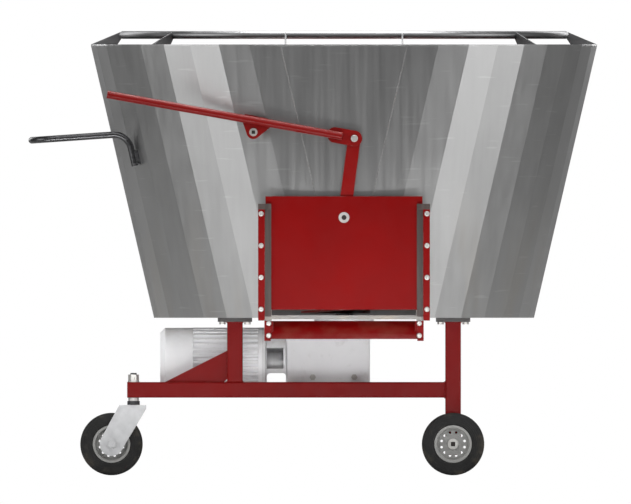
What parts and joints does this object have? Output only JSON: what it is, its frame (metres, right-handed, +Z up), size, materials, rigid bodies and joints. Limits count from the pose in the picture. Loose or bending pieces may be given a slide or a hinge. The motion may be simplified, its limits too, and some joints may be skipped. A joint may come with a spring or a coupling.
{
  "type": "vertical auger feed mixer",
  "caption": "Small mobile feed mixer: faceted steel tub with a vertical auger, electric gear drive, sliding discharge door with lever, wheeled frame, push handle.",
  "frame": {"origin": "on the ground, under the middle of the machine's bounding box", "axes": "+X along the machine, from the push handle at -X to the fixed wheels; -Y is the front with the discharge door; +Z up"},
  "size_m": [1.8196, 1.2704, 1.4215],
  "materials": {
    "tub_sheet": "mill-finished sheet steel, scuffed",
    "tub_inside_sheet": "mill-finished sheet steel",
    "ring_steel": "dull steel tube",
    "red_paint": "deep red enamel, semi-gloss",
    "red_lever": "deep red enamel, semi-gloss",
    "guide_plastic": "dark wear-resistant plastic",
    "zinc": "bright zinc plate",
    "handle_steel": "drawn steel tube",
    "motor_grey": "light grey machine enamel",
    "gearbox_grey": "light grey painted casting",
    "auger_red": "red enamel, worn bright where feed slides",
    "knife_steel": "hardened steel",
    "copper_winding": "varnished winding",
    "core_steel": "laminated steel",
    "gear_bronze": "gear bronze",
    "bearing_steel": "ground bearing steel",
    "black_steel": "oiled black steel",
    "shaft_steel": "turned steel",
    "coupling_mix": "turned aluminium with an elastic ring",
    "fork_zinc": "pressed zinc-plated steel",
    "tyre_rubber": "solid black rubber",
    "rim_grey": "silver-grey enamel",
    "fan_plastic": "moulded fan",
    "gland_plastic": "moulded nylon"
  },
  "bodies": {
    "machine": {"tub_floor": "tub_inside_sheet", "tub_shell_left": "tub_sheet", "tub_shell_right": "tub_sheet", "tub_front_panel": "tub_sheet", "tub_rear_panel": "tub_sheet", "rim_flange": "tub_sheet", "spill_ring": "ring_steel", "ring_stays": "ring_steel", "door_frame": "tub_inside_sheet", "guide_strips": "guide_plastic", "clamp_strips": "red_paint", "button_bolts": "zinc", "chute_plate": "red_paint", "chute_brackets": "red_paint", "lever_boss": "zinc", "push_handle": "handle_steel", "side_beams": "red_paint", "cross_beams": "red_paint", "posts": "red_paint", "post_plates": "black_steel", "hex_bolts": "zinc", "wheel_axles": "shaft_steel", "axle_nuts": "zinc", "caster_kingpins": "black_steel", "swivel_bearings": "black_steel", "motor_housing": "motor_grey", "motor_stator": "copper_winding", "motor_end_shields": "motor_grey", "fan_cowl": "motor_grey", "terminal_box": "motor_grey", "cable_gland": "gland_plastic", "shaft_bearings": "bearing_steel", "bell_housing": "gearbox_grey", "gearbox_housing": "gearbox_grey", "gearbox_cover": "gearbox_grey"},
    "auger": {"worm_wheel": "gear_bronze", "output_shaft": "shaft_steel", "auger_core": "auger_red", "auger_flight": "auger_red", "auger_knives": "knife_steel", "knife_bolts": "zinc"},
    "motor_shaft": {"motor_rotor": "core_steel", "motor_fan": "fan_plastic", "shaft_coupling": "coupling_mix", "worm_shaft": "shaft_steel"},
    "lever": {"lever_bar": "red_lever", "lever_bolt": "zinc"},
    "link": {"link_bar": "red_lever"},
    "door": {"door_plate": "red_paint", "door_pin": "zinc"},
    "caster_front": {"caster_fork_front": "fork_zinc"},
    "caster_wheel_front": {"caster_tyre_front": "tyre_rubber", "caster_rim_front": "rim_grey"},
    "fixed_wheel_front": {"fixed_tyre_front": "tyre_rubber", "fixed_rim_front": "rim_grey"},
    "caster_rear": {"caster_fork_rear": "fork_zinc"},
    "caster_wheel_rear": {"caster_tyre_rear": "tyre_rubber", "caster_rim_rear": "rim_grey"},
    "fixed_wheel_rear": {"fixed_tyre_rear": "tyre_rubber", "fixed_rim_rear": "rim_grey"}
  },
  "joints": [
    {"name": "auger_spin", "type": "hinge", "parent": "machine", "child": "auger", "pos_m": [0.09983, 0.02525, 0.8], "axis": [0, 0, 1], "continuous": true},
    {"name": "motor_spin", "type": "hinge", "parent": "machine", "child": "motor_shaft", "pos_m": [-0.30017, -0.06025, 0.363], "axis": [1, 0, 0], "continuous": true},
    {"name": "lever_pivot", "type": "hinge", "parent": "machine", "child": "lever", "pos_m": [-0.19017, -0.60875, 1.098], "axis": [0, -1, 0], "range_deg": [0, 34]},
    {"name": "link_pivot", "type": "hinge", "parent": "lever", "child": "link", "pos_m": [0.13283, -0.60075, 1.078], "axis": [0, -1, 0], "range_deg": [-26.2, 0]},
    {"name": "door_slide", "type": "slide", "parent": "machine", "child": "door", "axis": [0, 0, 1], "range_m": [0, 0.184]},
    {"name": "caster_swivel_front", "type": "hinge", "parent": "machine", "child": "caster_front", "pos_m": [-0.57367, -0.35475, 0.225], "axis": [0, 0, 1], "continuous": true},
    {"name": "caster_roll_front", "type": "hinge", "parent": "caster_front", "child": "caster_wheel_front", "pos_m": [-0.64417, -0.35475, 0.1], "axis": [0, 1, 0], "continuous": true},
    {"name": "fixed_roll_front", "type": "hinge", "parent": "machine", "child": "fixed_wheel_front", "pos_m": [0.44883, -0.41975, 0.1], "axis": [0, 1, 0], "continuous": true},
    {"name": "caster_swivel_rear", "type": "hinge", "parent": "machine", "child": "caster_rear", "pos_m": [-0.57367, 0.40525, 0.225], "axis": [0, 0, 1], "continuous": true},
    {"name": "caster_roll_rear", "type": "hinge", "parent": "caster_rear", "child": "caster_wheel_rear", "pos_m": [-0.64417, 0.40525, 0.1], "axis": [0, 1, 0], "continuous": true},
    {"name": "fixed_roll_rear", "type": "hinge", "parent": "machine", "child": "fixed_wheel_rear", "pos_m": [0.44883, 0.47025, 0.1], "axis": [0, 1, 0], "continuous": true}
  ],
  "couplings": [
    {"joint": "motor_spin", "follows": "auger_spin", "ratio": -40},
    {"joint": "link_pivot", "follows": "lever_pivot", "ratio": -0.769},
    {"joint": "door_slide", "follows": "lever_pivot", "m_per_rad": 0.31}
  ]
}
